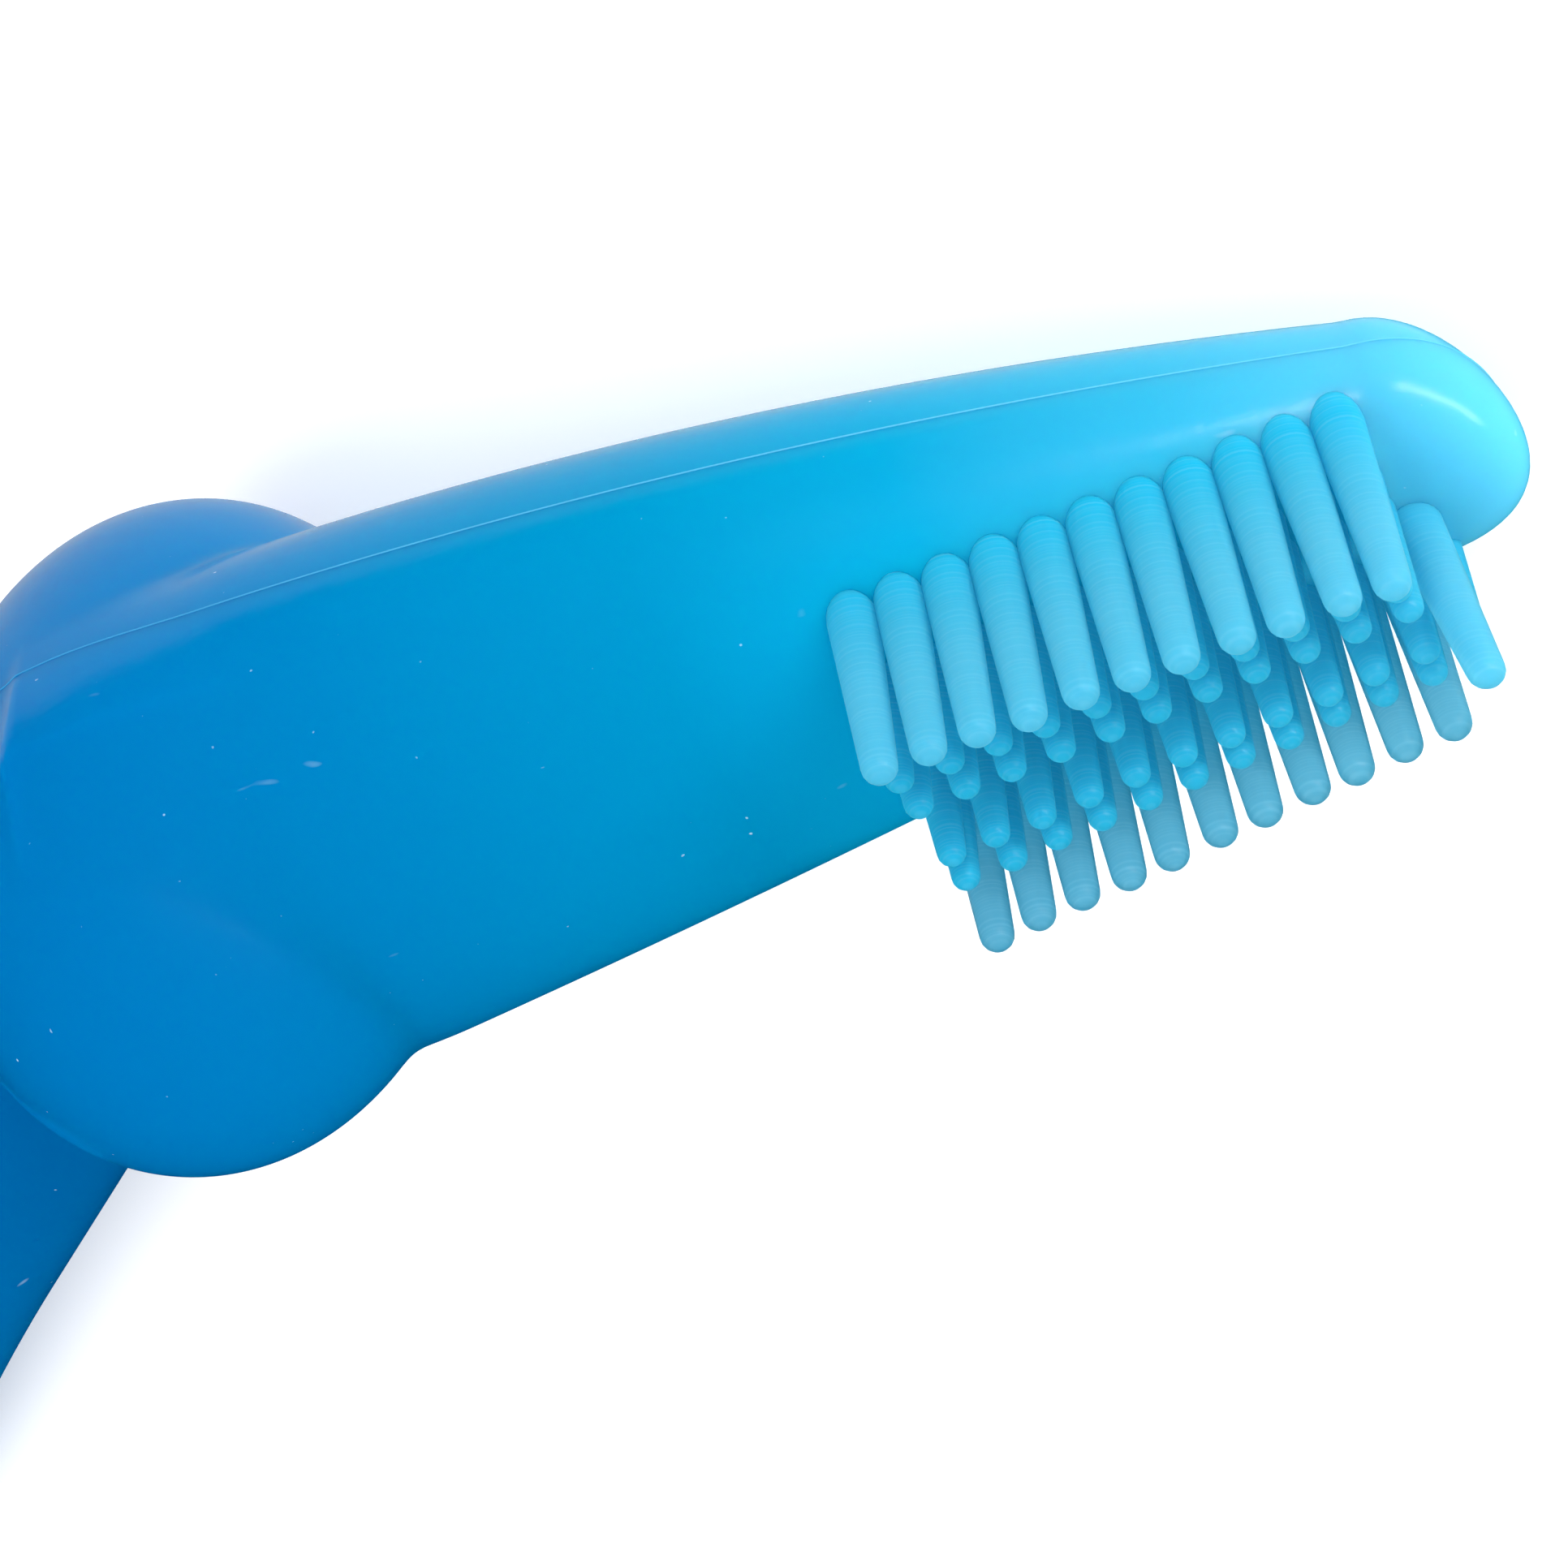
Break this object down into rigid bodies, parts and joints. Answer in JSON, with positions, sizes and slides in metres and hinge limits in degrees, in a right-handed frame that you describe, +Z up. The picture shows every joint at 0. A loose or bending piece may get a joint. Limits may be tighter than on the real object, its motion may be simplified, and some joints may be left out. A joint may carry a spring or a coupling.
{
  "type": "pet toothbrush",
  "caption": "Soft silicone pet toothbrush: fat tapered head arm with rows of tapered bristles, egg-shaped pivot hub and a slim handle set at an angle.",
  "frame": {"origin": "on the ground plane, under the middle of the whole brush as it lies on its back and side with the bristles up", "axes": "+X along the head arm towards its tip, seen from above; +Z up from the surface the brush lies on; the bristles point up and towards -Y"},
  "size_m": [0.1766, 0.0774, 0.038],
  "materials": {
    "head_skin": "translucent soft silicone, satin",
    "handle_skin": "translucent soft silicone, satin",
    "bristle": "translucent soft silicone, glossy",
    "core": "moulded plastic",
    "plug": "soft silicone",
    "bush": "low-friction plastic",
    "steel": "stainless",
    "eyelet": "moulded plastic"
  },
  "bodies": {
    "head": {"head_core": "core", "head_skin_bristle_side": "head_skin", "head_skin_back": "head_skin", "pivot_pin": "steel", "pin_clip": "steel", "flat_washer": "steel", "spring_washer": "steel", "pivot_plug": "plug", "outer_bristles_left": "bristle", "middle_bristles_left": "bristle", "inner_bristles_left": "bristle", "inner_bristles_right": "bristle", "middle_bristles_right": "bristle", "outer_bristles_right": "bristle", "end_bristle": "bristle", "small_end_bristle": "bristle"},
    "handle": {"handle_core": "core", "handle_skin_bristle_side": "handle_skin", "handle_skin_back": "handle_skin", "hang_eyelet": "eyelet", "pivot_bush": "bush"}
  },
  "joints": [
    {"name": "handle_pivot", "type": "hinge", "parent": "head", "child": "handle", "pos_m": [0.01568, 0.02126, 0.019], "axis": [0.2205, -0.5854, 0.7802], "range_deg": [-36, 36]}
  ]
}
